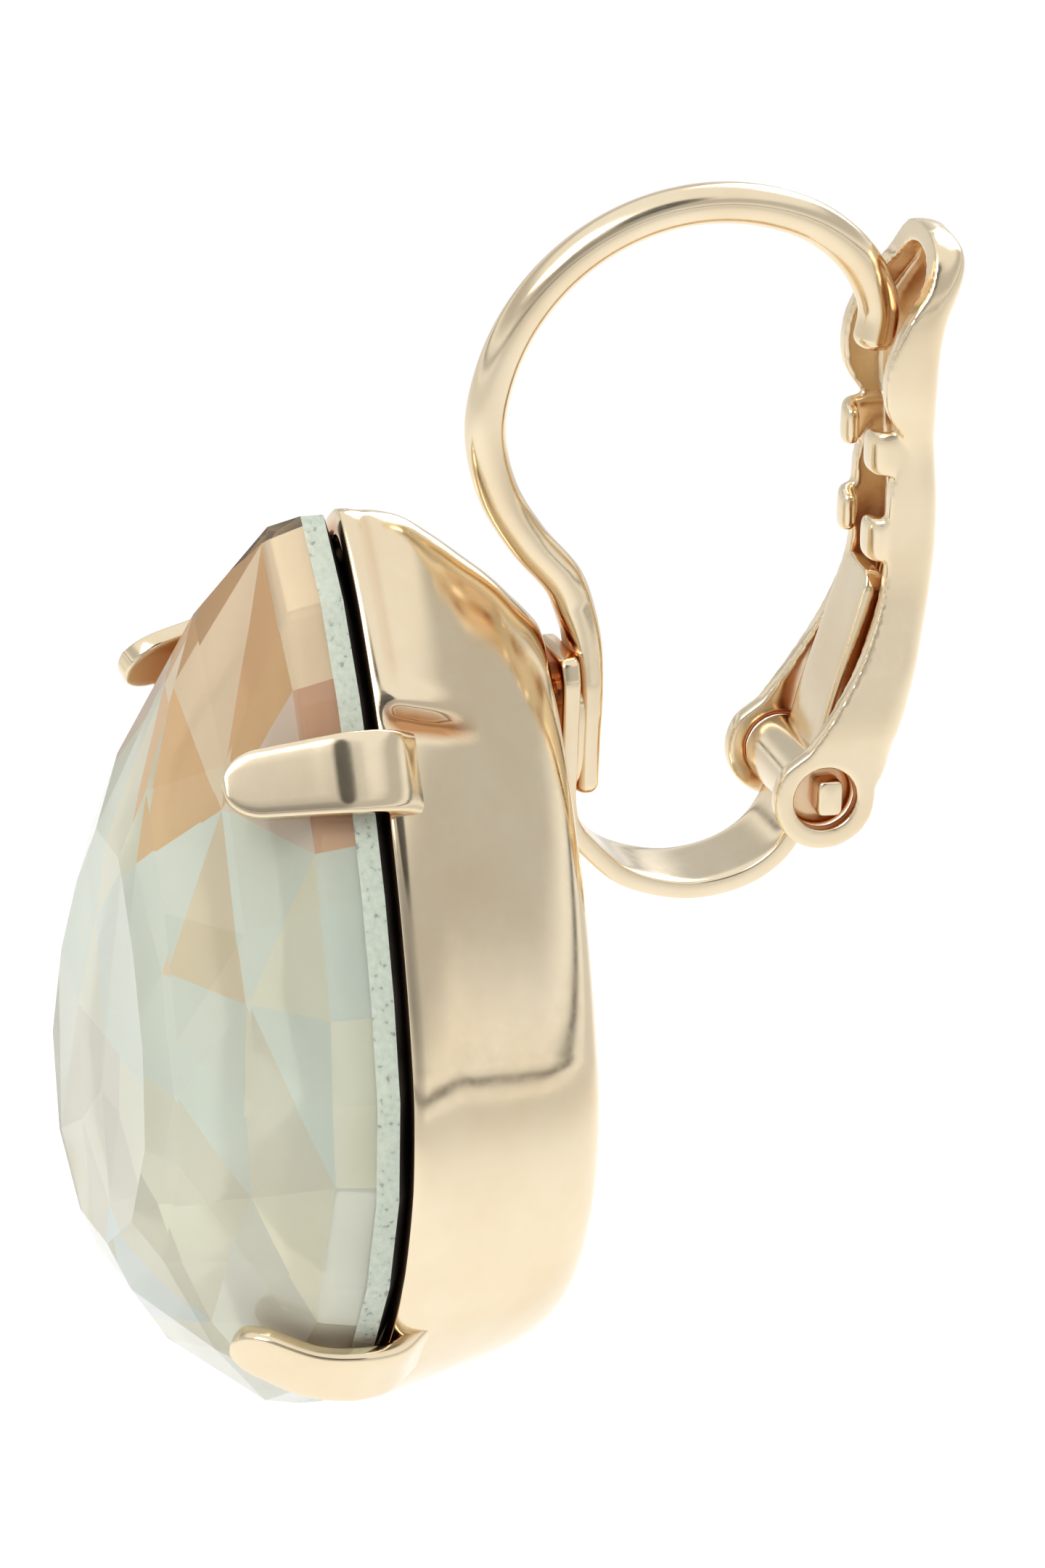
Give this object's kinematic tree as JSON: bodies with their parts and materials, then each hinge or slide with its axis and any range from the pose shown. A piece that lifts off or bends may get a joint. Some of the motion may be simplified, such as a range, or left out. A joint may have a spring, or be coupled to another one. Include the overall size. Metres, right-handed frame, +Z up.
{
  "type": "leverback drop earring",
  "caption": "Leverback drop earring: a pear-cut crystal in a four-prong gold cup on a hinged hoop ear wire.",
  "frame": {"origin": "the ear hole: underside of the top of the ear wire, where the earring hangs from the lobe", "axes": "+Z up along the hanging earring, -Y out of the front of the stone, +X to its left-right side; the earring mirrors across X = 0"},
  "size_m": [0.013, 0.0164, 0.0237],
  "materials": {
    "gold": "polished pale gold plate",
    "crystal": "clear crystal, faceted, with an amber tip and pale blue-green lights"
  },
  "bodies": {
    "setting": {"setting_and_ear_wire": "gold", "stone": "crystal"},
    "lever": {"lever": "gold"}
  },
  "joints": [
    {"name": "lever_hinge", "type": "hinge", "parent": "setting", "child": "lever", "pos_m": [0, 0.0022, -0.01118], "axis": [-1, 0, 0], "range_deg": [0, 60]}
  ]
}
